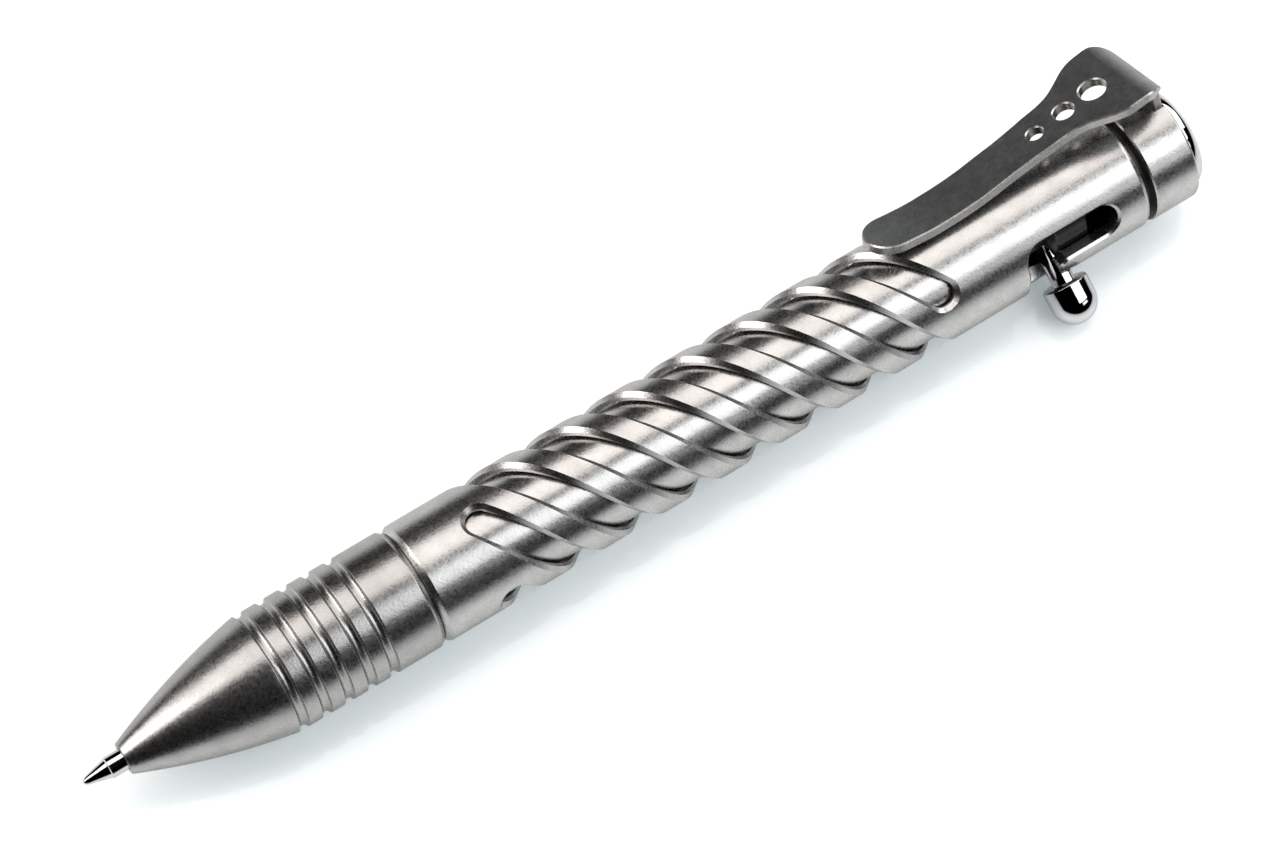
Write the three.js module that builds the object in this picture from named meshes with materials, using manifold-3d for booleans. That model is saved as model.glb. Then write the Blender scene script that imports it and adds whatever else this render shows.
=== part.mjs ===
import * as THREE from "three";
import { mergeVertices } from "three/addons/utils/BufferGeometryUtils.js";
import Module from "manifold-3d";

// Bolt action pen, lying on its barrel and on the knob of its bolt.
// The pen's axis is X, from the writing end to the domed end. Sizes are in millimetres.
// Angles are in degrees round the axis, from straight up (+Z) towards +Y.

// Barrel and fits
const barrelDiameter = 12.7;
const seatGap = 0.3;
const runningGap = 0.35;

// Writing tip and refill
const ballRadius = 0.35;
const ballConeLength = 2.65;
const tipTubeRadius = 1.1;
const tipTubeLength = 6.75;
const tipCollarRadius = 1.65;
const tipCollarLength = 2.6;
const tipSpigotLength = 3;
const refillNeckLength = 10;
const refillRadius = 2.95;
const refillWall = 0.45;
const plugFlangeLength = 2.3;
const plugSpigotLength = 3.5;
const plugVentRadius = 1;
const inkFillShare = 0.78;
const refillClearance = 0.4;

// Grip section, from the nose to the seam with the sleeve
const tipReach = 4.4;
const noseFaceRadius = 1.65;
const noseBoreGap = 0.15;
const noseStopGap = 0.15;
const noseLength = 15.6;
const noseFullnessShare = 1.4;
const grooveWidth = 1.1;
const grooveFloorWidth = 0.65;
const grooveDepth = 0.42;
const groovePitch = 2.52;
const grooveCount = 5;
const gripLandLength = 4.67;
const gripChamferLength = 0.5;
const gripChamferDepth = 0.42;
const springSeatDepth = 9.1;
const tenonLength = 5;

// Sleeve with the helical slots
const sleeveLength = 82.6;
const sleeveWall = 0.85;
const sleeveFrontChamferLength = 0.5;
const sleeveFrontChamferDepth = 0.45;
const sleeveRearChamfer = 0.57;
const boltWall = 1.5;
const boltChamberLength = 19.7;

// Helical slots
const helixCount = 4;
const helixLead = 27.43;
const helixSlotWidth = 3.6;
const helixChamfer = 0.45;
const helixFrontMargin = 7.55;
const helixRearMargin = 4.3;
const helixStartDegrees = 5.3;

// Bolt, its hooked slot and the plunger
const knobRadius = 2.44;
const knobStandoff = 0.9;
const knobCylinderLength = 2.05;
const knobEdge = 0.15;
const shankRadius = 1.2;
const shankRoot = 1.2;
const hookSlotWidth = 3.6;
const hookTurnDegrees = 58.3;
const boltSetback = 10.3;
const pushTravel = 2.45;
const retractTravel = 5;
const plungerBodyLength = 3.9;
const plungerEdge = 0.25;
const plungerNeckLength = 10.5;

// Rear cap and domed end screw
const capGroove = 0.45;
const capGrooveDepth = 0.75;
const capLength = 5.15;
const capFrontEdge = 0.15;
const capRearEdge = 0.3;
const capTenonLength = 1.3;
const eyeletWall = 1.8;
const screwStemRadius = 2.5;
const screwStemLength = 4;
const domeInset = 0.63;
const domeHeight = 2.34;

// Clip
const clipFromHookDegrees = 89.9;
const clipThickness = 1;
const clipWidth = 5.55;
const clipHeadWidth = 11.1;
const clipLegWidth = 5.6;
const clipLength = 33.5;
const clipNoseLength = 6.7;
const clipNoseLift = 0.7;
const clipNoseCurveShare = 1.5;
const clipHeadRise = 4.5;
const clipBendRadius = 3;
const clipWindowRadius = 1.45;
const clipWindowCount = 3;
const clipWindowPitch = 3.6;
const clipWindowShrinkShare = 0.78;

// Return spring
const springWireRadius = 0.3;
const springClearance = 0.4;
const springTurns = 5.5;

// Facets
const roundSides = 36;
const innerSides = 24;
const smallSides = 16;

// Outlines, as shares of the sizes that they follow
const clipRiseShares = [
  [0.084, 0.015],
  [0.168, 0.05],
  [0.252, 0.12],
  [0.336, 0.225],
  [0.42, 0.32],
  [0.504, 0.425],
  [0.588, 0.53],
  [0.672, 0.63],
  [0.735, 0.71],
  [0.8, 0.785],
  [0.853, 0.845],
  [0.903, 0.9],
  [0.945, 0.945],
];
const clipShoulderShares = [
  [0.42, 0],
  [0.504, 0.027],
  [0.588, 0.08],
  [0.672, 0.12],
  [0.735, 0.24],
  [0.8, 0.53],
  [0.853, 0.8],
  [0.903, 0.96],
  [0.945, 1],
];

const wasm = await Module();
wasm.setup();

const degrees = Math.PI / 180;

/** A closed geometry with shared vertices, no flat triangles and its faces pointing out. */
function closed(geometry) {
  const bare = geometry.clone();
  bare.deleteAttribute("normal");
  bare.deleteAttribute("uv");
  const merged = mergeVertices(bare);
  const index = merged.getIndex().array;
  const place = merged.getAttribute("position");
  const corners = [0, 1, 2].map(() => new THREE.Vector3());
  const triangles = [];
  let volume = 0;
  for (let i = 0; i < index.length; i += 3) {
    const [a, b, c] = [index[i], index[i + 1], index[i + 2]];
    if (a === b || b === c || a === c) continue;
    corners[0].fromBufferAttribute(place, a);
    corners[1].fromBufferAttribute(place, b);
    corners[2].fromBufferAttribute(place, c);
    volume += corners[0].dot(corners[1].clone().cross(corners[2]));
    triangles.push([a, b, c]);
  }
  const ordered = volume < 0 ? triangles.map(([a, b, c]) => [a, c, b]) : triangles;
  merged.setIndex(ordered.flat());
  return merged;
}

/** A solid that can be cut and joined. */
function solid(geometry) {
  const shell = closed(geometry);
  return new wasm.Manifold(
    new wasm.Mesh({
      numProp: 3,
      vertProperties: new Float32Array(shell.getAttribute("position").array),
      triVerts: new Uint32Array(shell.getIndex().array),
    })
  );
}

/** The geometry of a cut or joined solid. */
function skin(body) {
  const mesh = body.getMesh();
  const geometry = new THREE.BufferGeometry();
  geometry.setAttribute("position", new THREE.BufferAttribute(mesh.vertProperties, 3));
  geometry.setIndex(new THREE.BufferAttribute(mesh.triVerts, 1));
  return geometry;
}

/** A body turned about the pen's axis from [x, radius] points, with a flat side straight down. */
function turned(profile, sides) {
  const points = profile.map(([x, radius]) => new THREE.Vector2(radius, x));
  const lathe = new THREE.LatheGeometry(points, sides, Math.PI / sides);
  return lathe.rotateZ(-Math.PI / 2);
}

/** Turns a geometry built straight up (+Z) to its angle round the pen's axis. */
function aroundAxis(geometry, angle) {
  return geometry.rotateX(-angle * degrees);
}

/** A body turned about a radial line, from [reach, radius] points, at x and at an angle. */
function radialBody(profile, sides, x, angle) {
  const points = profile.map(([reach, radius]) => new THREE.Vector2(radius, reach));
  const lathe = new THREE.LatheGeometry(points, sides).rotateX(Math.PI / 2);
  return aroundAxis(lathe.translate(x, 0, 0), angle);
}

/** Points of a corner rounded with a quarter circle, from a start angle, in [x, radius]. */
function quarterRound(x, radius, size, fromAngle, steps) {
  const points = [];
  for (let i = 0; i <= steps; i += 1) {
    const angle = (fromAngle - (90 * i) / steps) * degrees;
    points.push([x + size * Math.cos(angle), radius + size * Math.sin(angle)]);
  }
  return points;
}

// Stations along the axis
const barrelRadius = barrelDiameter / 2;
const noseFace = tipReach;
const grooveStart = noseFace + noseLength;
const gripLandStart = grooveStart + groovePitch * (grooveCount - 1) + grooveWidth;
const gripShoulder = gripLandStart + gripLandLength + gripChamferLength;
const sleeveFront = gripShoulder + seatGap;
const sleeveRear = sleeveFront + sleeveLength;
const chamberFront = sleeveRear - boltChamberLength;
const tenonRear = gripShoulder + tenonLength;
const linerFront = tenonRear + seatGap;
const linerRear = chamberFront - seatGap;
const capNeckFront = sleeveRear + seatGap;
const capFront = capNeckFront + capGroove;
const capRear = capFront + capLength;
const domeBase = capRear + seatGap;
const penLength = domeBase + domeHeight;
const boltX = sleeveRear - boltSetback;
const plungerFront = boltX - plungerNeckLength;
const plungerRear = boltX + plungerBodyLength;

// Stations of the refill, which reaches from the ball to the plunger's neck
const tipTubeRear = ballConeLength + tipTubeLength;
const tipCollarRear = tipTubeRear + tipCollarLength;
const refillFront = tipCollarRear + seatGap;
const refillShoulder = refillFront + refillNeckLength;
const plugRear = plungerFront - seatGap;
const plugFlangeFront = plugRear - plugFlangeLength;
const refillRear = plugFlangeFront - seatGap;
const collarChamberFront = tipTubeRear - pushTravel - noseStopGap;
const springSeat = noseFace + springSeatDepth;

// Radii inside the barrel
const sleeveBore = barrelRadius - sleeveWall;
const linerRadius = sleeveBore - seatGap;
const linerBore = refillRadius + refillClearance;
const chamberBore = barrelRadius - boltWall;
const plungerRadius = chamberBore - runningGap;
const plungerNeckRadius = linerBore - runningGap;
const collarBore = tipCollarRadius + seatGap;
const noseBoreRadius = tipTubeRadius + noseBoreGap;
const refillBore = refillRadius - refillWall;
const tipSpigotRadius = tipCollarRadius - refillWall - seatGap;
const springMeanRadius = tipCollarRadius + springClearance + springWireRadius;
const eyeletHoleRadius = screwStemRadius + seatGap;
const eyeletRadius = eyeletHoleRadius + eyeletWall;
const domeRadius = barrelRadius - domeInset;
const clipHeadHeight = barrelRadius + clipHeadRise;

// Angles round the axis
const knobFaceReach = barrelRadius + knobStandoff;
const knobCentreReach = knobFaceReach + knobCylinderLength;
const lean = Math.asin((barrelRadius - knobRadius) / knobCentreReach) / degrees;
const boltAngle = -(90 + lean);
const hookAngle = boltAngle + hookTurnDegrees;
const clipAngle = hookAngle + clipFromHookDegrees;

// Run of the helical slots, from the centre of one round end to the other
const helixFront = sleeveFront + helixFrontMargin;
const helixTravel = chamberFront - helixRearMargin - helixFront;
const helixTurnDegrees = (360 * helixTravel) / helixLead;

/** The grip section: a rounded nose, ring grooves, a plain land and the tenon for the sleeve. */
function gripSection() {
  const outline = [[noseFace, noseBoreRadius]];
  const steps = 9;
  for (let i = 0; i <= steps; i += 1) {
    const along = i / steps;
    const rise = noseFullnessShare * along + (1 - noseFullnessShare) * along * along;
    const radius = noseFaceRadius + (barrelRadius - noseFaceRadius) * rise;
    outline.push([noseFace + noseLength * along, radius]);
  }
  const slope = (grooveWidth - grooveFloorWidth) / 2;
  for (let i = 0; i < grooveCount; i += 1) {
    const front = grooveStart + groovePitch * i;
    if (i > 0) outline.push([front, barrelRadius]);
    outline.push([front + slope, barrelRadius - grooveDepth]);
    outline.push([front + grooveWidth - slope, barrelRadius - grooveDepth]);
    outline.push([front + grooveWidth, barrelRadius]);
  }
  outline.push([gripShoulder - gripChamferLength, barrelRadius]);
  outline.push([gripShoulder, barrelRadius - gripChamferDepth]);
  outline.push([gripShoulder, linerRadius]);
  outline.push([tenonRear, linerRadius]);
  outline.push([tenonRear, linerBore]);
  outline.push([springSeat, linerBore]);
  outline.push([springSeat, collarBore]);
  outline.push([collarChamberFront, collarBore]);
  outline.push([collarChamberFront, noseBoreRadius]);
  outline.push([noseFace, noseBoreRadius]);
  return turned(outline, roundSides);
}

/** A wrapped cutter along one helical slot, with chamfered edges and round ends. */
function helixCutter(startAngle) {
  const slant = Math.atan(helixLead / (2 * Math.PI * barrelRadius));
  const along = [-Math.cos(slant), Math.sin(slant)];
  const across = [Math.sin(slant), Math.cos(slant)];
  const outerHalf = helixSlotWidth / 2;
  const innerHalf = outerHalf - helixChamfer;
  const levels = [
    [sleeveBore - seatGap / 2, innerHalf],
    [barrelRadius - helixChamfer, innerHalf],
    [barrelRadius + helixChamfer, outerHalf + helixChamfer],
  ];
  const stations = [];
  const endSteps = [11.25, 33.75, 56.25, 78.75];
  const turnSteps = Math.round(helixTurnDegrees / 15);
  endSteps.forEach((step) => stations.push([0, -Math.cos(step * degrees), Math.sin(step * degrees)]));
  for (let i = 0; i <= turnSteps; i += 1) {
    stations.push([i / turnSteps, 0, 1]);
  }
  endSteps
    .slice()
    .reverse()
    .forEach((step) => stations.push([1, Math.cos(step * degrees), Math.sin(step * degrees)]));
  const vertices = [];
  const loop = levels.length * 2;
  stations.forEach(([turn, ahead, half]) => {
    const angle = (startAngle - helixTurnDegrees * turn) * degrees;
    const ring = [];
    levels.forEach(([radius, reach]) => ring.push([radius, reach, 1]));
    levels
      .slice()
      .reverse()
      .forEach(([radius, reach]) => ring.push([radius, reach, -1]));
    ring.forEach(([radius, reach, side]) => {
      const around = reach * (ahead * along[0] + side * half * across[0]);
      const forward = reach * (ahead * along[1] + side * half * across[1]);
      const place = angle + Math.asin(around / radius);
      const x = helixFront + helixTravel * turn + forward;
      vertices.push(x, radius * Math.sin(place), radius * Math.cos(place));
    });
  });
  const triangles = [];
  for (let i = 0; i + 1 < stations.length; i += 1) {
    for (let j = 0; j < loop; j += 1) {
      const [a, b] = [i * loop + j, i * loop + ((j + 1) % loop)];
      triangles.push(a, b, b + loop, a, b + loop, a + loop);
    }
  }
  const last = (stations.length - 1) * loop;
  for (let j = 0; j + 1 < levels.length; j += 1) {
    const [a, b, c, d] = [j, j + 1, loop - 2 - j, loop - 1 - j];
    triangles.push(a, c, b, a, d, c);
    triangles.push(last + a, last + b, last + c, last + a, last + c, last + d);
  }
  const geometry = new THREE.BufferGeometry();
  geometry.setAttribute("position", new THREE.Float32BufferAttribute(vertices, 3));
  geometry.setIndex(triangles);
  return geometry;
}

/** A straight slot with round ends, cut along a radial line at an angle. */
function radialSlot(fromX, toX, angle) {
  const half = hookSlotWidth / 2;
  const shape = new THREE.Shape();
  shape.absarc(fromX, 0, half, Math.PI / 2, (Math.PI * 3) / 2, false);
  shape.absarc(toX, 0, half, -Math.PI / 2, Math.PI / 2, false);
  const depth = boltWall * 3;
  const cutter = new THREE.ExtrudeGeometry(shape, { depth, bevelEnabled: false, curveSegments: 10 });
  return aroundAxis(cutter.translate(0, 0, chamberBore - boltWall), angle);
}

/** The part of the hooked slot that runs round the barrel. */
function turningSlot(centreX) {
  const inner = chamberBore - boltWall;
  const outer = barrelRadius + boltWall;
  const shape = new THREE.Shape();
  const from = (90 - boltAngle) * degrees;
  const to = (90 - hookAngle) * degrees;
  shape.absarc(0, 0, outer, from, to, true);
  shape.absarc(0, 0, inner, to, from, false);
  const options = { depth: hookSlotWidth, bevelEnabled: false, curveSegments: 10 };
  const ring = new THREE.ExtrudeGeometry(shape, options);
  ring.applyMatrix4(new THREE.Matrix4().set(0, 0, 1, 0, 1, 0, 0, 0, 0, 1, 0, 0, 0, 0, 0, 1));
  return ring.translate(centreX - hookSlotWidth / 2, 0, 0);
}

/** The sleeve: a thin tube with four helical slots, and a thicker end with the bolt's hooked slot. */
function barrelSleeve() {
  const tube = solid(
    turned(
      [
        [sleeveFront, sleeveBore],
        [sleeveFront, barrelRadius - sleeveFrontChamferDepth],
        [sleeveFront + sleeveFrontChamferLength, barrelRadius],
        [sleeveRear - sleeveRearChamfer, barrelRadius],
        [sleeveRear, barrelRadius - sleeveRearChamfer],
        [sleeveRear, chamberBore],
        [chamberFront, chamberBore],
        [chamberFront, sleeveBore],
        [sleeveFront, sleeveBore],
      ],
      roundSides
    )
  );
  let cut = tube;
  for (let i = 0; i < helixCount; i += 1) {
    cut = cut.subtract(solid(helixCutter(helixStartDegrees + (360 * i) / helixCount)));
  }
  const slack = hookSlotWidth / 2 - shankRadius;
  const notchX = boltX - (slack - seatGap);
  const turnX = boltX - pushTravel;
  const farX = boltX + retractTravel - (slack - seatGap);
  cut = cut.subtract(solid(radialSlot(turnX, farX, hookAngle)));
  cut = cut.subtract(solid(radialSlot(turnX, notchX, boltAngle)));
  cut = cut.subtract(solid(turningSlot(turnX)));
  return skin(cut);
}

/** The inner tube that shows through the helical slots and guides the refill. */
function linerTube() {
  return turned(
    [
      [linerFront, linerBore],
      [linerFront, linerRadius],
      [linerRear, linerRadius],
      [linerRear, linerBore],
      [linerFront, linerBore],
    ],
    roundSides
  );
}

/** The rear cap: a ring with a short tenon, a recess for the clip's eyelet and a blind bore. */
function rearCap() {
  const recess = clipThickness + 2 * seatGap;
  const boreDepth = screwStemLength + seatGap;
  const body = solid(
    turned(
      [
        [capNeckFront - capTenonLength, 0],
        [capNeckFront - capTenonLength, chamberBore - seatGap],
        [capNeckFront, chamberBore - seatGap],
        [capNeckFront, barrelRadius - capGrooveDepth],
        [capFront, barrelRadius - capGrooveDepth],
        [capFront, barrelRadius - capFrontEdge],
        [capFront + capFrontEdge, barrelRadius],
        ...quarterRound(capRear - capRearEdge, barrelRadius - capRearEdge, capRearEdge, 90, 3),
        [capRear, eyeletRadius + seatGap],
        [capRear - recess, eyeletRadius + seatGap],
        [capRear - recess, eyeletHoleRadius],
        [domeBase - boreDepth, eyeletHoleRadius],
        [domeBase - boreDepth, 0],
      ],
      roundSides
    )
  );
  const width = clipLegWidth + 2 * seatGap;
  const reach = barrelRadius * 2;
  const notch = new THREE.BoxGeometry(recess * 2, width, reach);
  notch.translate(capRear, 0, reach / 2 + eyeletHoleRadius + seatGap);
  return skin(body.subtract(solid(aroundAxis(notch, clipAngle))));
}

/** The domed end screw, with its stem in the cap. */
function endScrew() {
  const sphere = (domeRadius * domeRadius + domeHeight * domeHeight) / (2 * domeHeight);
  const spread = Math.asin(domeRadius / sphere);
  const outline = [
    [domeBase - screwStemLength, 0],
    [domeBase - screwStemLength, screwStemRadius],
    [domeBase, screwStemRadius],
  ];
  const steps = 8;
  for (let i = 0; i <= steps; i += 1) {
    const angle = spread * (1 - i / steps);
    const radius = i === steps ? 0 : sphere * Math.sin(angle);
    outline.push([penLength - sphere + sphere * Math.cos(angle), radius]);
  }
  return turned(outline, roundSides);
}

/** How far the clip has widened from its arm to its head, at a share of the way to its bend. */
function clipWidening(share) {
  const after = clipShoulderShares.findIndex(([place]) => place >= share);
  if (after === 0) return 0;
  if (after < 0) return 1;
  const [a, b] = [clipShoulderShares[after - 1], clipShoulderShares[after]];
  return a[1] + ((b[1] - a[1]) * (share - a[0])) / (b[0] - a[0]);
}

/** Stations [x, height, half width] along the clip's outer face, from its free end to the eyelet. */
function clipStations() {
  const legX = capRear - seatGap;
  const tipX = legX - clipLength;
  const touchX = tipX + clipNoseLength;
  const bendX = legX - clipBendRadius;
  const touchHeight = barrelRadius + seatGap + clipThickness;
  const armHalf = clipWidth / 2;
  const headHalf = clipHeadWidth / 2;
  const liftAt = (x) => clipNoseLift * ((touchX - x) / clipNoseLength) ** clipNoseCurveShare;
  const stations = [];
  [11.25, 33.75, 56.25, 78.75].forEach((angle) => {
    const x = tipX + armHalf * (1 - Math.cos(angle * degrees));
    stations.push([x, touchHeight + liftAt(x), armHalf * Math.sin(angle * degrees)]);
  });
  const armSteps = 3;
  for (let i = 0; i < armSteps; i += 1) {
    const x = tipX + armHalf + ((clipNoseLength - armHalf) * i) / armSteps;
    stations.push([x, touchHeight + liftAt(x), armHalf]);
  }
  stations.push([touchX, touchHeight, armHalf]);
  const rise = clipHeadHeight - touchHeight;
  clipRiseShares.forEach(([place, lift]) => {
    const half = armHalf + (headHalf - armHalf) * clipWidening(place);
    stations.push([touchX + (bendX - touchX) * place, touchHeight + rise * lift, half]);
  });
  const bendSteps = 6;
  for (let i = 0; i <= bendSteps; i += 1) {
    const turn = (90 * i * degrees) / bendSteps;
    const drop = 1 - Math.cos(turn);
    const half = headHalf + (clipLegWidth / 2 - headHalf) * drop;
    stations.push([bendX + clipBendRadius * Math.sin(turn), clipHeadHeight - clipBendRadius * drop, half]);
  }
  stations.push([legX, barrelRadius, clipLegWidth / 2]);
  stations.push([legX, (eyeletHoleRadius + eyeletRadius) / 2, clipLegWidth / 2]);
  return stations;
}

/** The clip: a bent strip that widens to a head, folds down to the cap and ends in an eyelet. */
function clip() {
  const stations = clipStations();
  const vertices = [];
  stations.forEach(([x, height, half], i) => {
    const before = stations[Math.max(i - 1, 0)];
    const after = stations[Math.min(i + 1, stations.length - 1)];
    const ahead = new THREE.Vector2(after[0] - before[0], after[1] - before[1]).normalize();
    const underX = x + clipThickness * ahead.y;
    const underHeight = height - clipThickness * ahead.x;
    vertices.push(x, half, height, x, -half, height);
    vertices.push(underX, -half, underHeight, underX, half, underHeight);
  });
  const triangles = [];
  for (let i = 0; i + 1 < stations.length; i += 1) {
    for (let j = 0; j < 4; j += 1) {
      const [a, b] = [i * 4 + j, i * 4 + ((j + 1) % 4)];
      triangles.push(a, b, b + 4, a, b + 4, a + 4);
    }
  }
  const last = (stations.length - 1) * 4;
  triangles.push(0, 2, 1, 0, 3, 2, last, last + 1, last + 2, last, last + 2, last + 3);
  const strip = new THREE.BufferGeometry();
  strip.setAttribute("position", new THREE.Float32BufferAttribute(vertices, 3));
  strip.setIndex(triangles);
  const legX = capRear - seatGap;
  const eyelet = turned(
    [
      [legX - clipThickness, eyeletHoleRadius],
      [legX - clipThickness, eyeletRadius],
      [legX, eyeletRadius],
      [legX, eyeletHoleRadius],
      [legX - clipThickness, eyeletHoleRadius],
    ],
    innerSides
  );
  let body = solid(aroundAxis(strip, clipAngle)).add(solid(eyelet));
  const firstX = legX - clipBendRadius - clipWindowRadius * 2;
  for (let i = 0; i < clipWindowCount; i += 1) {
    const size = clipWindowRadius * clipWindowShrinkShare ** i;
    const reach = [barrelRadius, clipHeadHeight + clipThickness];
    const x = firstX - clipWindowPitch * i;
    const drill = radialBody(
      [
        [reach[0], 0],
        [reach[0], size],
        [reach[1], size],
        [reach[1], 0],
      ],
      smallSides,
      x,
      clipAngle
    );
    body = body.subtract(solid(drill));
  }
  return skin(body);
}

/** The bolt: a shank from the plunger and a knob with a flat inner face and a round end. */
function bolt() {
  const outline = [
    [shankRoot, 0],
    [shankRoot, shankRadius],
    [knobFaceReach, shankRadius],
    [knobFaceReach, knobRadius - knobEdge],
    [knobFaceReach + knobEdge, knobRadius],
  ];
  const steps = 6;
  for (let i = 0; i <= steps; i += 1) {
    const angle = (90 * i * degrees) / steps;
    const radius = i === steps ? 0 : knobRadius * Math.cos(angle);
    outline.push([knobCentreReach + knobRadius * Math.sin(angle), radius]);
  }
  return radialBody(outline, smallSides, boltX, boltAngle);
}

/** The plunger: a body that slides in the bore, a neck that pushes the refill and the bolt's hole. */
function plunger() {
  const body = solid(
    turned(
      [
        [plungerFront, 0],
        [plungerFront, plungerNeckRadius - plungerEdge],
        [plungerFront + plungerEdge, plungerNeckRadius],
        [boltX, plungerNeckRadius],
        [boltX, plungerRadius - plungerEdge],
        [boltX + plungerEdge, plungerRadius],
        [plungerRear - plungerEdge, plungerRadius],
        [plungerRear, plungerRadius - plungerEdge],
        [plungerRear, 0],
      ],
      innerSides
    )
  );
  const hole = radialBody(
    [
      [shankRoot - seatGap, 0],
      [shankRoot - seatGap, shankRadius + seatGap],
      [barrelRadius, shankRadius + seatGap],
      [barrelRadius, 0],
    ],
    smallSides,
    boltX,
    boltAngle
  );
  return skin(body.subtract(solid(hole)));
}

/** The writing tip: a ball seat, a cone, the tube in the nose, a collar and a spigot. */
function writingTip() {
  return turned(
    [
      [0, 0],
      [ballRadius / 2, ballRadius],
      [ballRadius, ballRadius],
      [ballConeLength, tipTubeRadius],
      [tipTubeRear, tipTubeRadius],
      [tipTubeRear, tipCollarRadius],
      [tipCollarRear, tipCollarRadius],
      [tipCollarRear, tipSpigotRadius],
      [tipCollarRear + tipSpigotLength, tipSpigotRadius],
      [tipCollarRear + tipSpigotLength, 0],
    ],
    smallSides
  );
}

/** The refill's tube: a neck for the spring, a shoulder and a long body. */
function refillTube() {
  const neckBore = tipSpigotRadius + seatGap;
  return turned(
    [
      [refillFront, neckBore],
      [refillFront, tipCollarRadius],
      [refillShoulder, tipCollarRadius],
      [refillShoulder, refillRadius],
      [refillRear, refillRadius],
      [refillRear, refillBore],
      [refillShoulder + refillWall, refillBore],
      [refillShoulder + refillWall, neckBore],
      [refillFront, neckBore],
    ],
    innerSides
  );
}

/** The ink inside the refill's tube. */
function inkColumn() {
  const front = refillShoulder + refillWall + seatGap;
  const rear = front + (refillRear - plugSpigotLength - front) * inkFillShare;
  return turned(
    [
      [front, 0],
      [front, refillBore - seatGap],
      [rear, refillBore - seatGap],
      [rear, 0],
    ],
    smallSides
  );
}

/** The plug in the rear end of the refill, with its vent. */
function refillPlug() {
  return turned(
    [
      [refillRear - plugSpigotLength, plugVentRadius],
      [refillRear - plugSpigotLength, refillBore - seatGap],
      [plugFlangeFront, refillBore - seatGap],
      [plugFlangeFront, refillRadius],
      [plugRear, refillRadius],
      [plugRear, plugVentRadius],
      [refillRear - plugSpigotLength, plugVentRadius],
    ],
    smallSides
  );
}

/** The return spring, one unbroken wire between the nose's seat and the refill's shoulder. */
function returnSpring() {
  const front = springSeat + seatGap + springWireRadius;
  const rear = refillShoulder - seatGap - springWireRadius;
  const sides = 5;
  const turnSteps = 8;
  const count = Math.round(springTurns * turnSteps);
  const pitch = (rear - front) / springTurns;
  const slant = Math.atan(pitch / (2 * Math.PI * springMeanRadius));
  const vertices = [];
  const centres = [];
  for (let i = 0; i <= count; i += 1) {
    const turn = (2 * Math.PI * i) / turnSteps;
    const x = front + (pitch * i) / turnSteps;
    centres.push([x, turn]);
    for (let j = 0; j < sides; j += 1) {
      const around = (2 * Math.PI * j) / sides;
      const out = springMeanRadius + springWireRadius * Math.cos(around);
      const over = springWireRadius * Math.sin(around);
      const shift = (over * Math.sin(slant)) / springMeanRadius;
      const place = turn - shift;
      vertices.push(x + over * Math.cos(slant), out * Math.sin(place), out * Math.cos(place));
    }
  }
  const triangles = [];
  for (let i = 0; i < count; i += 1) {
    for (let j = 0; j < sides; j += 1) {
      const [a, b] = [i * sides + j, i * sides + ((j + 1) % sides)];
      triangles.push(a, b, b + sides, a, b + sides, a + sides);
    }
  }
  const last = count * sides;
  for (let j = 1; j + 1 < sides; j += 1) {
    triangles.push(0, j + 1, j, last, last + j, last + j + 1);
  }
  const geometry = new THREE.BufferGeometry();
  geometry.setAttribute("position", new THREE.Float32BufferAttribute(vertices, 3));
  geometry.setIndex(triangles);
  const gap = pitch * Math.cos(slant) - 2 * springWireRadius;
  console.log(`least gap between the spring's turns: ${gap.toFixed(2)} mm`);
  return geometry;
}

const titanium = { color: 0xa9a6a2, roughness: 0.34, metalness: 1 };
const darkTitanium = { color: 0x66656a, roughness: 0.42, metalness: 1 };
const polished = { color: 0xd6d6d8, roughness: 0.06, metalness: 1 };
const pieces = [
  ["grip_section", gripSection(), titanium],
  ["barrel_sleeve", barrelSleeve(), titanium],
  ["liner_tube", linerTube(), { color: 0xb9b7b4, roughness: 0.22, metalness: 1 }],
  ["rear_cap", rearCap(), titanium],
  ["end_screw", endScrew(), polished],
  ["pocket_clip", clip(), darkTitanium],
  ["plunger", plunger(), { color: 0x1b1b1d, roughness: 0.4, metalness: 0 }],
  ["bolt_knob", bolt(), polished],
  ["return_spring", returnSpring(), { color: 0xc2c4c8, roughness: 0.25, metalness: 1 }],
  ["writing_tip", writingTip(), polished],
  ["refill_tube", refillTube(), { color: 0xb4b6ba, roughness: 0.3, metalness: 1 }],
  ["ink_column", inkColumn(), { color: 0x15161c, roughness: 0.3, metalness: 0 }],
  ["refill_plug", refillPlug(), { color: 0x2b2c30, roughness: 0.45, metalness: 0 }],
];

const group = new THREE.Group();
const pen = new THREE.Group();
pieces.forEach(([name, geometry, look]) => {
  const mesh = new THREE.Mesh(closed(geometry), new THREE.MeshStandardMaterial(look));
  mesh.name = name;
  pen.add(mesh);
});
group.add(pen);

// The origin is under the middle of the pen, on the surface that it lies on.
const extent = new THREE.Box3().setFromObject(group, true);
const middle = extent.getCenter(new THREE.Vector3());
pen.position.set(-middle.x, -middle.y, -extent.min.z);
group.updateMatrixWorld(true);

export default group;
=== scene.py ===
"""Bolt action pen: fine meshes, finishes, floor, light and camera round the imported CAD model."""

import logging
import math
from collections.abc import Callable, Sequence
from dataclasses import dataclass
from enum import Enum

import bmesh
import bpy
from bmesh.types import BMesh, BMVert
from mathutils import Matrix, Vector


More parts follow.
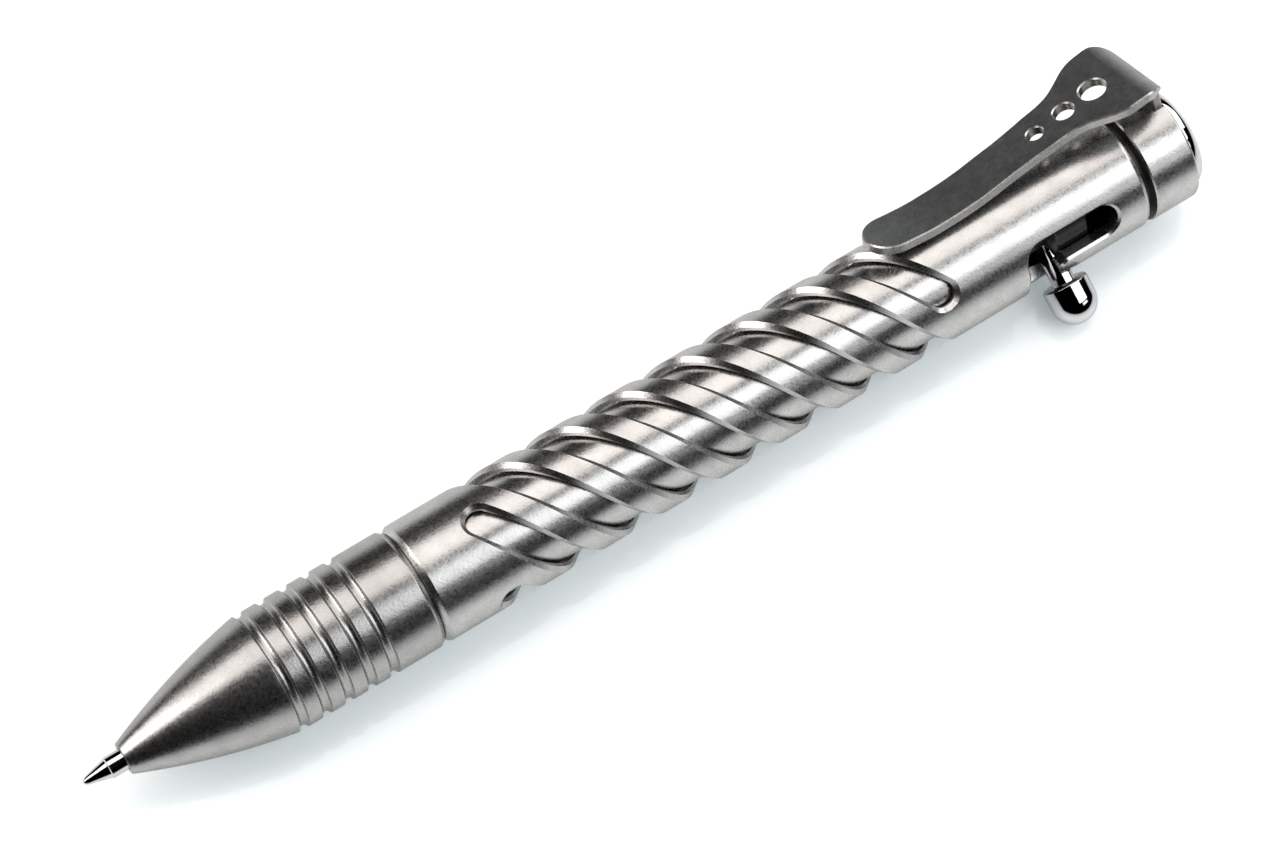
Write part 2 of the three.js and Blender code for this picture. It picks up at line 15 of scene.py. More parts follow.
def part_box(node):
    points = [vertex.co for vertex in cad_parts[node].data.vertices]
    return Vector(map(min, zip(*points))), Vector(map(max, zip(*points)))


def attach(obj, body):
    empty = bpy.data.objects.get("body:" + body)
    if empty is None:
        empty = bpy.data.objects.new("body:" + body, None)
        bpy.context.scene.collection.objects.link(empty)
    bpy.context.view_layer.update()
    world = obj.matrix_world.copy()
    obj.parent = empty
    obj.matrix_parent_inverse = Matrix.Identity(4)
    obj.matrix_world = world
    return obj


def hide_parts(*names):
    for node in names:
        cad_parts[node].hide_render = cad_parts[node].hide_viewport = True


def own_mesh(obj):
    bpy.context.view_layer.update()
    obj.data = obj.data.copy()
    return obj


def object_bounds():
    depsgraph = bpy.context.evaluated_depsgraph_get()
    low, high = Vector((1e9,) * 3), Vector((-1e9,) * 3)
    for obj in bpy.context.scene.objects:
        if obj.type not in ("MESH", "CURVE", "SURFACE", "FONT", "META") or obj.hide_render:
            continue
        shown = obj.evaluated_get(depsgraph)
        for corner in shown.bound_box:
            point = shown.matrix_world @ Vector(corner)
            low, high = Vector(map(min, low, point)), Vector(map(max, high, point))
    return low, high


LOG = logging.getLogger("bolt_action_pen")
MM = 0.001
FULL_TURN = 2 * math.pi
BARREL_RADIUS = 6.338
BOLT_ANGLE = -114.864
CLIP_ANGLE = 33.336
FINE_SEGMENTS = 192
SMALL_SEGMENTS = 96
WINDOW_SEGMENTS = 64
CORNER_STEPS = 12
MERGE_DISTANCE = 1e-4
SLICE_DISTANCE = 1e-5
ROUND_SLACK = 0.004
SHARP_DEGREES = 32

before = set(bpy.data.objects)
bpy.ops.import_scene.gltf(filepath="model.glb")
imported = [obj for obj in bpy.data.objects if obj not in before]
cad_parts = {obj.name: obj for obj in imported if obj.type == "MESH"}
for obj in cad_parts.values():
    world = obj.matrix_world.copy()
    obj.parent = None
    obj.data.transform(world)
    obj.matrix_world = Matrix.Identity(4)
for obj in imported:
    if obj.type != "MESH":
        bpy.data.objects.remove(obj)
CAD_LOW, CAD_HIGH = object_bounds()

Colour = tuple[float, float, float]
Profile = list[tuple[float, float]]
Curve = tuple[tuple[float, float], ...]


# ---- placing


@dataclass(frozen=True)
class PenAxis:
    """The pen's own measure: millimetres from the ball of the tip, along and round its axis."""

    ball_x: float
    y: float
    z: float

    @classmethod
    def of_frame(cls) -> "PenAxis":
        """Finds the axis from the CAD model's tip and liner."""
        tip_low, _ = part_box("writing_tip")
        low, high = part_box("liner_tube")
        return cls(tip_low.x, (low.y + high.y) / 2, (low.z + high.z) / 2)

    def matrix(self) -> Matrix:
        """The matrix from millimetres on the pen to metres in the row frame."""
        return Matrix.Translation((self.ball_x, self.y, self.z)) @ Matrix.Scale(MM, 4)


def turned_up(degrees: float) -> Matrix:
    """Turns a shape built straight up (+Z) to its angle round the pen, from +Z towards +Y."""
    return Matrix.Rotation(-math.radians(degrees), 4, "X")


def added(name: str, data: bpy.types.ID | None) -> bpy.types.Object:
    """Puts a new object in the scene."""
    made = bpy.data.objects.new(name, data)
    bpy.context.scene.collection.objects.link(made)
    return made


# ---- shaping


def meshed(bm: BMesh, name: str) -> bpy.types.Mesh:
    """Turns a working mesh into a named one and frees it."""
    mesh = bpy.data.meshes.new(name)
    bm.to_mesh(mesh)
    bm.free()
    return mesh


def arc(x: float, radius: float, reach: float, first: float, last: float, steps: int) -> Profile:
    """Points on a circle.

    Args:
        x: Where its centre is along the axis.
        radius: How far its centre is from the axis.
        reach: Its own radius.
        first: The first point's angle in degrees, from the axis outwards.
        last: The last point's angle.
        steps: Steps from the first point to the last.

    Returns:
        The points as (x, radius).
    """
    turns = [math.radians(first + (last - first) * i / steps) for i in range(steps + 1)]
    return [(x + reach * math.cos(a), radius + reach * math.sin(a)) for a in turns]


def ring(front: float, rear: float, bore: float, radius: float) -> Profile:
    """The outline of a plain ring."""
    return [(front, bore), (front, radius), (rear, radius), (rear, bore)]


def spun(profile: Profile, segments: int = FINE_SEGMENTS) -> BMesh:
    """Turns an outline about the pen's axis.

    Args:
        profile: Corners as (x, radius). An outline that starts and ends on the axis is left open.
        segments: Steps in the full turn.

    Returns:
        A closed mesh with its faces pointing out.
    """
    bm = bmesh.new()
    corners = [bm.verts.new((x, 0, radius)) for x, radius in profile]
    pairs = list(zip(corners, corners[1:]))
    if profile[0][1] > 0:
        pairs.append((corners[-1], corners[0]))
    edges = [bm.edges.new(pair) for pair in pairs]
    bmesh.ops.spin(
        bm, geom=corners + edges, cent=(0, 0, 0), axis=(1, 0, 0),
        angle=FULL_TURN, steps=segments, use_merge=True,
    )
    bmesh.ops.remove_doubles(bm, verts=bm.verts, dist=MERGE_DISTANCE)
    bmesh.ops.recalc_face_normals(bm, faces=bm.faces)
    return bm


def soften(bm: BMesh, width: float, segments: int = 2, least: float = 25) -> None:
    """Rounds every edge that turns by more than an angle.

    Args:
        bm: The mesh, in millimetres.
        width: How far the rounding reaches from each edge.
        segments: Steps in the rounding.
        least: The angle in degrees.
    """
    sharp = [e for e in bm.edges if len(e.link_faces) == 2]
    sharp = [e for e in sharp if e.calc_face_angle(0) > math.radians(least)]
    bmesh.ops.bevel(
        bm, geom=sharp, offset=width, offset_type="OFFSET", segments=segments,
        profile=0.5, affect="EDGES", clamp_overlap=True, material=-1,
    )


def carved(body: BMesh, tools: Sequence[BMesh], operation: str = "DIFFERENCE") -> BMesh:
    """Cuts closed shapes out of a body, or joins them to it.

    Args:
        body: The closed mesh that is changed. It is freed.
        tools: The closed meshes to cut or join. They are freed.
        operation: DIFFERENCE or UNION.

    Returns:
        The new mesh.
    """
    name = "working_shape"
    stand_ins = [added(name, meshed(bm, name)) for bm in (body, *tools)]
    for tool in stand_ins[1:]:
        cut = stand_ins[0].modifiers.new("cut", "BOOLEAN")
        cut.operation = operation
        cut.solver = "MANIFOLD"
        cut.object = tool
    graph = bpy.context.evaluated_depsgraph_get()
    result = bmesh.new()
    result.from_mesh(stand_ins[0].evaluated_get(graph).to_mesh())
    for stand_in in stand_ins:
        mesh = stand_in.data
        bpy.data.objects.remove(stand_in)
        bpy.data.meshes.remove(mesh)
    return result


def slot_cutter(
    corners: Sequence[tuple[float, float]],
    rounding: dict[float, Sequence[int]],
    slices: Sequence[tuple[Vector, Vector]],
    levels: tuple[float, float, float],
    flare: float,
    place: Callable[[Vector], Vector],
) -> BMesh:
    """A closed cutter from a flat outline, with a flared top, bent round the barrel.

    Args:
        corners: The outline of the slot at its flared top, in the flat.
        rounding: Lists of corner numbers to round, by radius.
        slices: Planes, as a point and a normal, that cut the outline so that it can bend.
        levels: Radii of the cutter's foot, of the start of the flare and of its top.
        flare: How much wider the top is than the foot, on each side.
        place: Gives the bent place of a flat point (along, across, radius).

    Returns:
        The cutter, in millimetres on the pen.
    """
    foot, neck, top = levels
    bm = bmesh.new()
    outline = [bm.verts.new((u, w, top)) for u, w in corners]
    bm.faces.new(outline)
    for radius, numbers in rounding.items():
        rounded = [outline[number] for number in numbers]
        bmesh.ops.bevel(
            bm, geom=rounded, offset=radius, offset_type="OFFSET", segments=CORNER_STEPS,
            profile=0.5, affect="VERTICES", clamp_overlap=False, material=-1,
        )
    bmesh.ops.remove_doubles(bm, verts=bm.verts, dist=MERGE_DISTANCE)
    for point, normal in slices:
        geometry = bm.verts[:] + bm.edges[:] + bm.faces[:]
        bmesh.ops.bisect_plane(
            bm, geom=geometry, dist=SLICE_DISTANCE, plane_co=point, plane_no=normal
        )
    region = bm.faces[:]
    bmesh.ops.duplicate(bm, geom=region)
    bmesh.ops.inset_region(
        bm, faces=region, thickness=flare, use_even_offset=True, use_boundary=True
    )
    for vert in {vert for face in region for vert in face.verts}:
        vert.co.z = neck
    grown = bmesh.ops.extrude_face_region(bm, geom=region)["geom"]
    for vert in grown:
        if isinstance(vert, BMVert):
            vert.co.z = foot
    leftover = [face for face in region if face.is_valid]
    bmesh.ops.delete(bm, geom=leftover, context="FACES_ONLY")
    loose = [edge for edge in bm.edges if not edge.link_faces]
    bmesh.ops.delete(bm, geom=loose, context="EDGES")
    bmesh.ops.remove_doubles(bm, verts=bm.verts, dist=MERGE_DISTANCE)
    for vert in bm.verts:
        vert.co = place(vert.co)
    bmesh.ops.recalc_face_normals(bm, faces=bm.faces)
    if bm.calc_volume(signed=True) < 0:
        bmesh.ops.reverse_faces(bm, faces=bm.faces)
    return bm


def eased(table: Sequence[tuple[float, float]], at: float) -> float:
    """A smooth curve through a table of places.

    Args:
        table: Pairs of place and value, in order.
        at: The place to read.

    Returns:
        The value there.
    """
    if at <= table[0][0]:
        return table[0][1]
    if at >= table[-1][0]:
        return table[-1][1]
    i = next(n for n in range(1, len(table)) if table[n][0] >= at)
    (x0, y0), (x1, y1) = table[i - 1], table[i]
    before, after = table[max(i - 2, 0)], table[min(i + 1, len(table) - 1)]
    slope_in = (y1 - before[1]) / (x1 - before[0])
    slope_out = (after[1] - y0) / (after[0] - x0)
    span, t = x1 - x0, (at - x0) / (x1 - x0)
    keep, reach = 2 * t**3 - 3 * t**2 + 1, 3 * t**2 - 2 * t**3
    lean = (t**3 - 2 * t**2 + t) * slope_in + (t**3 - t**2) * slope_out
    return keep * y0 + reach * y1 + span * lean


# ---- finishes


class Pattern(Enum):
    """How the fine marks on a surface run."""

    TUMBLED = "tumbled"
    TURNED = "turned"


@dataclass(frozen=True)
class Finish:
    """A surface finish: its tones, gloss and fine relief."""

    name: str
    slot: str
    light: Colour
    dark: Colour
    gloss: tuple[float, float]
    pattern: Pattern = Pattern.TUMBLED
    metallic: float = 1.0
    grain_per_mm: float = 3.8
    cloud_per_mm: float = 0.5
    relief: float = 1.0
    depth_mm: float = 0.014
    coat: float = 0.0
    edge_tint: Colour = (0.68, 0.66, 0.64)


def preset(node: bpy.types.Node, values: dict[str, float | Sequence[float]]) -> bpy.types.Node:
    """Sets a node's own inputs and gives the node back."""
    for name, value in values.items():
        node.inputs[name].default_value = value
    return node


def wire(tree: bpy.types.NodeTree, *wires: tuple[bpy.types.Node, str, bpy.types.Node, str]) -> None:
    """Links outputs to inputs, each named by its node and socket."""
    for source, output, target, entry in wires:
        tree.links.new(source.outputs[output], target.inputs[entry])


class SurfaceMarks:
    """The shared node group of fine grain, mottling and soft clouds.

    Each layer has a name, its scale per millimetre, its detail and its roughness.
    """

    layers = (("Grain", 3.8, 1.5, 0.5), ("Mottle", 1.6, 3.0, 0.6), ("Cloud", 0.5, 4.0, 0.55))
    mottle_share = 0.35
    grain_share = 0.55

    def __init__(self) -> None:
        """Builds the group once."""
        self.group = bpy.data.node_groups.new("surface_marks", "ShaderNodeTree")
        face = self.group.interface
        face.new_socket(name="Place", in_out="INPUT", socket_type="NodeSocketVector")
        for name, scale, _, _ in self.layers:
            socket = face.new_socket(name=name, in_out="INPUT", socket_type="NodeSocketFloat")
            socket.default_value = scale
        for name in ("Grain", "Tone"):
            face.new_socket(name=name, in_out="OUTPUT", socket_type="NodeSocketFloat")
        self._fill()

    def _fill(self) -> None:
        """Adds the group's nodes and links."""
        nodes = self.group.nodes
        given = nodes.new("NodeGroupInput")
        made = nodes.new("NodeGroupOutput")
        noises = []
        for name, _, detail, rough in self.layers:
            noise = preset(nodes.new("ShaderNodeTexNoise"), {"Detail": detail, "Roughness": rough})
            wire(self.group, (given, "Place", noise, "Vector"), (given, name, noise, "Scale"))
            noises.append(noise)
        grain, mottle, cloud = noises
        blend = preset(nodes.new("ShaderNodeMix"), {"Factor": self.mottle_share})
        tone = preset(nodes.new("ShaderNodeMix"), {"Factor": self.grain_share})
        wire(
            self.group,
            (grain, "Fac", blend, "A"),
            (mottle, "Fac", blend, "B"),
            (blend, "Result", made, "Grain"),
            (cloud, "Fac", tone, "A"),
            (blend, "Result", tone, "B"),
            (tone, "Result", made, "Tone"),
        )


def blank_material(name: str) -> bpy.types.Material:
    """A new node material with its plain shader."""
    material = bpy.data.materials.new(name)
    material.use_nodes = True
    return material


class Finisher:
    """Makes the materials from the finishes, one for each."""

    tone_span = (0.38, 0.62)
    gloss_span = (0.25, 0.75)
    turned_stretch = 0.06

    def __init__(self, axis: PenAxis) -> None:
        """Keeps the pen's axis and the shared marks."""
        self.axis = axis
        self.marks = SurfaceMarks()
        self.made: dict[str, bpy.types.Material] = {}

    def material(self, finish: Finish) -> bpy.types.Material:
        """The material of a finish, built at its first use."""
        if finish.name not in self.made:
            self.made[finish.name] = self._build(finish)
        return self.made[finish.name]

    def _build(self, finish: Finish) -> bpy.types.Material:
        """Builds the node material of one finish.

        Args:
            finish: The finish to build.

        Returns:
            The new material.
        """
        material = blank_material(finish.name)
        nodes = material.node_tree.nodes
        shader = nodes["Principled BSDF"]
        tint = (*finish.edge_tint, 1)
        preset(
            shader,
            {"Metallic": finish.metallic, "Coat Weight": finish.coat, "Specular Tint": tint},
        )
        where = nodes.new("ShaderNodeTexCoord")
        size = 1 / MM
        across = self.turned_stretch * size if finish.pattern is Pattern.TURNED else size
        heart = (0, -self.axis.y / MM, -self.axis.z / MM)
        scale = nodes.new("ShaderNodeMapping")
        preset(scale, {"Location": heart, "Scale": (size, across, across)})
        marks = nodes.new("ShaderNodeGroup")
        marks.node_tree = self.marks.group
        preset(marks, {"Grain": finish.grain_per_mm, "Cloud": finish.cloud_per_mm})
        tone = nodes.new("ShaderNodeMix")
        tone.data_type = "RGBA"
        preset(tone, {"A": (*finish.dark, 1), "B": (*finish.light, 1)})
        low, high = self.tone_span
        spread = preset(nodes.new("ShaderNodeMapRange"), {"From Min": low, "From Max": high})
        low, high = self.gloss_span
        gloss = preset(nodes.new("ShaderNodeMapRange"), {"From Min": low, "From Max": high})
        preset(gloss, {"To Min": finish.gloss[0], "To Max": finish.gloss[1]})
        bump = nodes.new("ShaderNodeBump")
        preset(bump, {"Strength": finish.relief, "Distance": finish.depth_mm * MM})
        wire(
            material.node_tree,
            (where, "Object", scale, "Vector"),
            (scale, "Vector", marks, "Place"),
            (marks, "Tone", spread, "Value"),
            (spread, "Result", tone, "Factor"),
            (tone, "Result", shader, "Base Color"),
            (marks, "Grain", gloss, "Value"),
            (gloss, "Result", shader, "Roughness"),
            (marks, "Grain", bump, "Height"),
            (bump, "Normal", shader, "Normal"),
        )
        return material


TITANIUM = Finish(
    "tumbled_titanium", "body_metal", (0.53, 0.515, 0.503), (0.405, 0.4, 0.393), (0.23, 0.34)
)
GRIP_TITANIUM = Finish(
    "darker_titanium", "body_metal", (0.43, 0.418, 0.407), (0.33, 0.326, 0.32), (0.23, 0.34)
)
LINER_TITANIUM = Finish(
    "inner_titanium", "liner_metal", (0.54, 0.524, 0.512), (0.42, 0.414, 0.407), (0.22, 0.33),
    depth_mm=0.01,
)
CLIP_TITANIUM = Finish(
    "blasted_titanium", "clip_metal", (0.33, 0.33, 0.333), (0.22, 0.221, 0.225), (0.3, 0.42),
    grain_per_mm=5.0, depth_mm=0.02,
)
# Darker copy of the titanium for the cap's neck and front face down in the groove: painted shade.
GROOVE_PAINTED_SHADE = Finish(
    "painted_shade_groove", "body_metal", (0.2, 0.185, 0.175), (0.16, 0.15, 0.14), (0.4, 0.5),
    relief=0.6, depth_mm=0.018,
)
# Lighter, glossier copy of the clip metal for its side walls, window walls and broken edges:
# painted highlight.
CLIP_PAINTED_HIGHLIGHT = Finish(
    "painted_highlight_edges", "clip_metal", (0.5, 0.475, 0.45), (0.36, 0.345, 0.33), (0.24, 0.34)
)
MIRROR_STEEL = Finish(
    "mirror_steel", "polished_metal", (0.62, 0.61, 0.61), (0.56, 0.56, 0.57), (0.05, 0.08),
    relief=0.02, depth_mm=0.004,
)
PLUNGER_BLACK = Finish(
    "black_plastic", "plunger_plastic", (0.014, 0.014, 0.015), (0.01, 0.01, 0.011), (0.2, 0.3),
    metallic=0.0, relief=0.1, depth_mm=0.02,
)
SPRING_WIRE = Finish(
    "spring_wire", "spring_steel", (0.68, 0.69, 0.71), (0.6, 0.61, 0.63), (0.2, 0.3),
    relief=0.1, depth_mm=0.02,
)
REFILL_STEEL = Finish(
    "refill_steel", "refill_metal", (0.62, 0.63, 0.65), (0.55, 0.56, 0.58), (0.25, 0.35),
    pattern=Pattern.TURNED, relief=0.2, depth_mm=0.02,
)
REFILL_BLACK = Finish(
    "refill_plastic", "refill_plastic", (0.07, 0.07, 0.075), (0.05, 0.05, 0.055), (0.35, 0.5),
    metallic=0.0, relief=0.1, depth_mm=0.02,
)
INK = Finish(
    "black_ink", "ink", (0.012, 0.012, 0.02), (0.008, 0.008, 0.012), (0.1, 0.2),
    metallic=0.0, relief=0.02, depth_mm=0.02, coat=0.5,
)


@dataclass
class Workshop:
    """What every sub-assembly needs to make its pieces."""

    axis: PenAxis
    finisher: Finisher

    def piece(
        self,
        bm: BMesh,
        name: str,
        node: str,
        body: str,
        finish: Finish,
        radii: Sequence[float] = (),
        even: bool = False,
        trim: Finish | None = None,
    ) -> bpy.types.Object:
        """Makes a finished piece from a mesh in millimetres on the pen.

        Args:
            bm: The mesh. It is freed.
            name: The piece's name.
            node: The CAD node that it stands for.
            body: The CAD body that it rides on.
            finish: Its finish.
            radii: Radii of its true cylinders, whose shading is made exactly round.
            even: Whether its broad faces keep an even shading up to their narrow edges.
            trim: The finish of its faces with material number 1.

        Returns:
            The new object.
        """
        bmesh.ops.transform(bm, matrix=self.axis.matrix(), verts=bm.verts)
        mesh = meshed(bm, name)
        mesh.shade_smooth()
        mesh.set_sharp_from_angle(angle=math.radians(SHARP_DEGREES))
        if radii:
            self._round_shading(mesh, radii)
        mesh.materials.append(self.finisher.material(finish))
        if trim:
            mesh.materials.append(self.finisher.material(trim))
        made = added(name, mesh)
        if even:
            weighted = made.modifiers.new("even_shading", "WEIGHTED_NORMAL")
            weighted.keep_sharp = True
        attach(made, body)
        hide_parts(node)
        LOG.info("%s: %d faces, rides on %s", name, len(mesh.polygons), body)
        return made

    def _round_shading(self, mesh: bpy.types.Mesh, radii: Sequence[float]) -> None:
        """Gives the faces that lie on true cylinders the cylinders' own normals.

        Args:
            mesh: The placed mesh.
            radii: The cylinders' radii in millimetres.
        """
        centre = Vector((0, self.axis.y, self.axis.z))
        spokes = []
        for vert in mesh.vertices:
            spoke = vert.co - centre
            spoke.x = 0
            spokes.append(spoke)
        normals = [Vector((0, 0, 0))] * len(mesh.loops)
        slack = ROUND_SLACK * MM
        for face in mesh.polygons:
            reach = [spokes[index].length for index in face.vertices]
            if not any(all(abs(r - radius * MM) < slack for r in reach) for radius in radii):
                continue
            outward = 1 if spokes[face.vertices[0]].dot(face.normal) > 0 else -1
            for loop, index in zip(face.loop_indices, face.vertices):
                normals[loop] = spokes[index].normalized() * outward
        mesh.normals_split_custom_set(normals)

    def dress(self, node: str, finish: Finish) -> None:
        """Gives a CAD node that stays its finish.

        Args:
            node: The CAD node's name.
            finish: Its finish.
        """
        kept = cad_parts[node]
        material = self.finisher.material(finish)
        if not kept.material_slots:
            kept.data.materials.append(material)
        for slot in kept.material_slots:
            slot.material = material
        LOG.info("%s: CAD node kept, finish %s", node, finish.name)


# ---- the pen


@dataclass
class WritingTip:
    """The ball, cone, tube and collar of the refill's tip."""

    ball_radius: float = 0.35
    ball_step: int = 10
    seat_lip: float = 0.02
    seat_radius: float = 0.42
    cone_length: float = 2.65
    cone_edge: tuple[float, float] = (0.08, 0.1)
    tube_radius: float = 1.1
    tube_rear: float = 9.4
    collar_radius: float = 1.65
    collar_rear: float = 12.0
    spigot_radius: float = 0.9
    spigot_rear: float = 15.0

    def build(self, shop: Workshop) -> None:
        """Builds the tip as one turned piece."""
        ball = [
            (self.ball_radius * (1 - math.cos(a)), self.ball_radius * math.sin(a))
            for a in map(math.radians, range(0, 91, self.ball_step))
        ]
        outline = [
            *ball,
            (self.ball_radius + self.seat_lip, self.seat_radius),
            (self.cone_length, self.tube_radius - self.cone_edge[1]),
            (self.cone_length + self.cone_edge[0], self.tube_radius),
            (self.tube_rear, self.tube_radius), (self.tube_rear, self.collar_radius),
            (self.collar_rear, self.collar_radius), (self.collar_rear, self.spigot_radius),
            (self.spigot_rear, self.spigot_radius), (self.spigot_rear, 0),
        ]
        bm = spun(outline, SMALL_SEGMENTS)
        shop.piece(bm, "tip_of_refill", "writing_tip", "refill", MIRROR_STEEL, even=True)


@dataclass
class GripSection:
    """The front section: rounded nose, five ring grooves, plain land and rear tenon."""

    barrel_radius: float = BARREL_RADIUS
    nose_face: float = 4.4
    nose_length: float = 15.6
    nose_face_radius: float = 1.65
    nose_bore: float = 1.17
    nose_fullness: float = 1.4
    nose_steps: int = 30
    groove_width: float = 1.1
    groove_depth: float = 0.42
    groove_steps: int = 14
    groove_pitch: float = 2.52
    groove_count: int = 5
    shoulder: float = 36.47
    chamfer_length: float = 0.6
    chamfer_depth: float = 0.45
    tenon_radius: float = 5.2
    tenon_rear: float = 41.35
    bore: float = 3.35
    spring_seat: float = 13.5
    collar_bore: float = 1.95
    collar_front: float = 6.8
    edge: float = 0.05
    edge_steps: int = 3

    def groove(self, front: float) -> Profile:
        """The round hollow of one ring groove, from its front edge to its rear edge."""
        half = self.groove_width / 2
        round_radius = (half**2 + self.groove_depth**2) / (2 * self.groove_depth)
        reach = math.asin(half / round_radius)
        heart = self.barrel_radius - self.groove_depth + round_radius
        turns = [reach * (2 * i / self.groove_steps - 1) for i in range(self.groove_steps + 1)]
        return [
            (front + half + round_radius * math.sin(a), heart - round_radius * math.cos(a))
            for a in turns
        ]

    def build(self, shop: Workshop) -> None:
        """Builds the grip section as one turned piece."""
        outline: Profile = [(self.nose_face, self.nose_bore)]
        for i in range(self.nose_steps + 1):
            t = i / self.nose_steps
            rise = self.nose_fullness * t + (1 - self.nose_fullness) * t * t
            radius = self.nose_face_radius + (self.barrel_radius - self.nose_face_radius) * rise
            outline.append((self.nose_face + self.nose_length * t, radius))
        start = self.nose_face + self.nose_length
        for i in range(self.groove_count):
            outline += self.groove(start + self.groove_pitch * i)[int(i == 0) :]
        outline += [
            (self.shoulder - self.chamfer_length, self.barrel_radius),
            (self.shoulder, self.barrel_radius - self.chamfer_depth),
            (self.shoulder, self.tenon_radius), (self.tenon_rear, self.tenon_radius),
            (self.tenon_rear, self.bore), (self.spring_seat, self.bore),
            (self.spring_seat, self.collar_bore), (self.collar_front, self.collar_bore),
            (self.collar_front, self.nose_bore),
        ]
        bm = spun(outline)
        soften(bm, self.edge, self.edge_steps)
        radii = (self.barrel_radius,)
        shop.piece(bm, "grip", "grip_section", "barrel", GRIP_TITANIUM, radii)


@dataclass
class BarrelSleeve:
    """The sleeve with its four helical slots and the hooked slot of the bolt."""

    radius: float = BARREL_RADIUS
    bore: float = 5.5
    chamber_bore: float = 4.85
    front: float = 36.53
    front_chamfer: tuple[float, float] = (0.6, 0.48)
    rear: float = 119.25
    rear_chamfer: float = 0.57
    rear_slope: tuple[float, float] = (0.42, 0.2)
    chamber_front: float = 99.55
    ring_pitch: float = 2.0
    helix_count: int = 4
    helix_lead: float = 27.43
    helix_width: float = 3.6
    helix_chamfer: float = 0.45
    helix_front: float = 44.2
    helix_travel: float = 51.05
    helix_start: float = 5.3
    hook_width: float = 3.6
    hook_edge: float = 0.27
    hook_turn_x: float = 106.5
    hook_notch_x: float = 108.65
    hook_far_x: float = 113.65
    bolt_angle: float = BOLT_ANGLE
    hook_angle: float = -56.564
    notch_rounding: float = 1.62
    tongue_rounding: float = 0.5
    slice_degrees: float = 3.0
    edge: float = 0.05
    proud: float = 0.12
    helix_undercut: float = 0.15
    hook_undercut: float = 0.4

    def tube(self) -> BMesh:
        """The uncut sleeve, with rings along it so that its cut faces stay small."""
        outline: Profile = [
            (self.front, self.bore),
            (self.front, self.radius - self.front_chamfer[1]),
            (self.front + self.front_chamfer[0], self.radius),
        ]
        last = self.rear - self.rear_chamfer
        first = self.front + self.front_chamfer[0]
        rings = round((last - first) / self.ring_pitch)
        outline += [(first + (last - first) * i / rings, self.radius) for i in range(1, rings)]
        outline += [
            (last, self.radius),
            (last + self.rear_slope[0], self.radius - self.rear_slope[1]),
            (self.rear, self.radius - self.rear_chamfer),
            (self.rear, self.chamber_bore), (self.chamber_front, self.chamber_bore),
            (self.chamber_front, self.bore),
        ]
        rings = round((self.chamber_front - self.front) / self.ring_pitch)
        run = self.front - self.chamber_front
        outline += [(self.chamber_front + run * i / rings, self.bore) for i in range(1, rings)]
        bm = spun(outline)
        soften(bm, self.edge)
        return bm

    def helix_cutter(self, start: float) -> BMesh:
        """One helical slot's cutter.

        Args:
            start: The slot's angle at its front end, in degrees.

        Returns:
            The closed cutter.
        """
        turn = FULL_TURN * self.helix_travel / self.helix_lead
        slant = math.atan(self.helix_lead / (FULL_TURN * self.radius))
        ahead = (-math.cos(slant), math.sin(slant))
        beside = (math.sin(slant), math.cos(slant))
        length = math.hypot(self.helix_travel, turn * self.radius)
        half = self.helix_width / 2 + self.proud
        flare = self.helix_chamfer + self.proud
        corners = [(-half, -half), (length + half, -half), (length + half, half), (-half, half)]
        steps = round(math.degrees(turn) / self.slice_degrees)
        slices = [
            (Vector((length * i / steps, 0, 0)), Vector((1, 0, 0))) for i in range(steps + 1)
        ]

        def place(flat: Vector) -> Vector:
            """Bends a flat point of the slot round the barrel."""
            centre = min(max(flat.x, 0), length)
            around = (flat.x - centre) * ahead[0] + flat.y * beside[0]
            forward = (flat.x - centre) * ahead[1] + flat.y * beside[1]
            share = centre / length
            angle = math.radians(start) - turn * share + math.asin(around / flat.z)
            x = self.helix_front + self.helix_travel * share + forward
            return Vector((x, flat.z * math.sin(angle), flat.z * math.cos(angle)))

        foot, top = self.bore - self.helix_undercut, self.radius + self.proud
        levels = (foot, self.radius - self.helix_chamfer, top)
        return slot_cutter(corners, {half: range(4)}, slices, levels, flare, place)

    def hook_cutter(self) -> BMesh:
        """The cutter of the hooked slot: a long leg, a turn and the notch that holds the bolt."""
        half = self.hook_width / 2 + self.hook_edge
        low, high = math.radians(self.bolt_angle), math.radians(self.hook_angle)
        apart = (high - low) * self.radius
        wide = half + self.proud
        near, notch_end = self.hook_turn_x - wide, self.hook_notch_x + wide
        tongue, far_end = self.hook_turn_x + wide, self.hook_far_x + wide
        inner, outer = apart - wide, apart + wide
        corners = [(near, -wide), (notch_end, -wide), (notch_end, wide), (tongue, wide)]
        corners += [(tongue, inner), (far_end, inner), (far_end, outer), (near, outer)]
        rounding = {wide: [0, 1, 5, 6, 7], self.notch_rounding: [2], self.tongue_rounding: [3, 4]}
        first, last = -wide, apart + wide
        steps = round(math.degrees((last - first) / self.radius) / self.slice_degrees)
        slices = [
            (Vector((0, first + (last - first) * i / steps, 0)), Vector((0, 1, 0)))
            for i in range(1, steps)
        ]

        def place(flat: Vector) -> Vector:
            """Bends a flat point of the slot round the barrel, with its long walls parallel."""
            edge = math.asin(half / flat.z)
            if flat.y <= half:
                angle = low + math.asin(flat.y / flat.z)
            elif flat.y >= apart - half:
                angle = high + math.asin((flat.y - apart) / flat.z)
            else:
                share = (flat.y - half) / (apart - 2 * half)
                angle = low + edge + (high - low - 2 * edge) * share
            return Vector((flat.x, flat.z * math.sin(angle), flat.z * math.cos(angle)))

        foot, top = self.chamber_bore - self.hook_undercut, self.radius + self.proud
        levels = (foot, self.radius - self.hook_edge, top)
        flare = self.hook_edge + self.proud
        return slot_cutter(corners, rounding, slices, levels, flare, place)

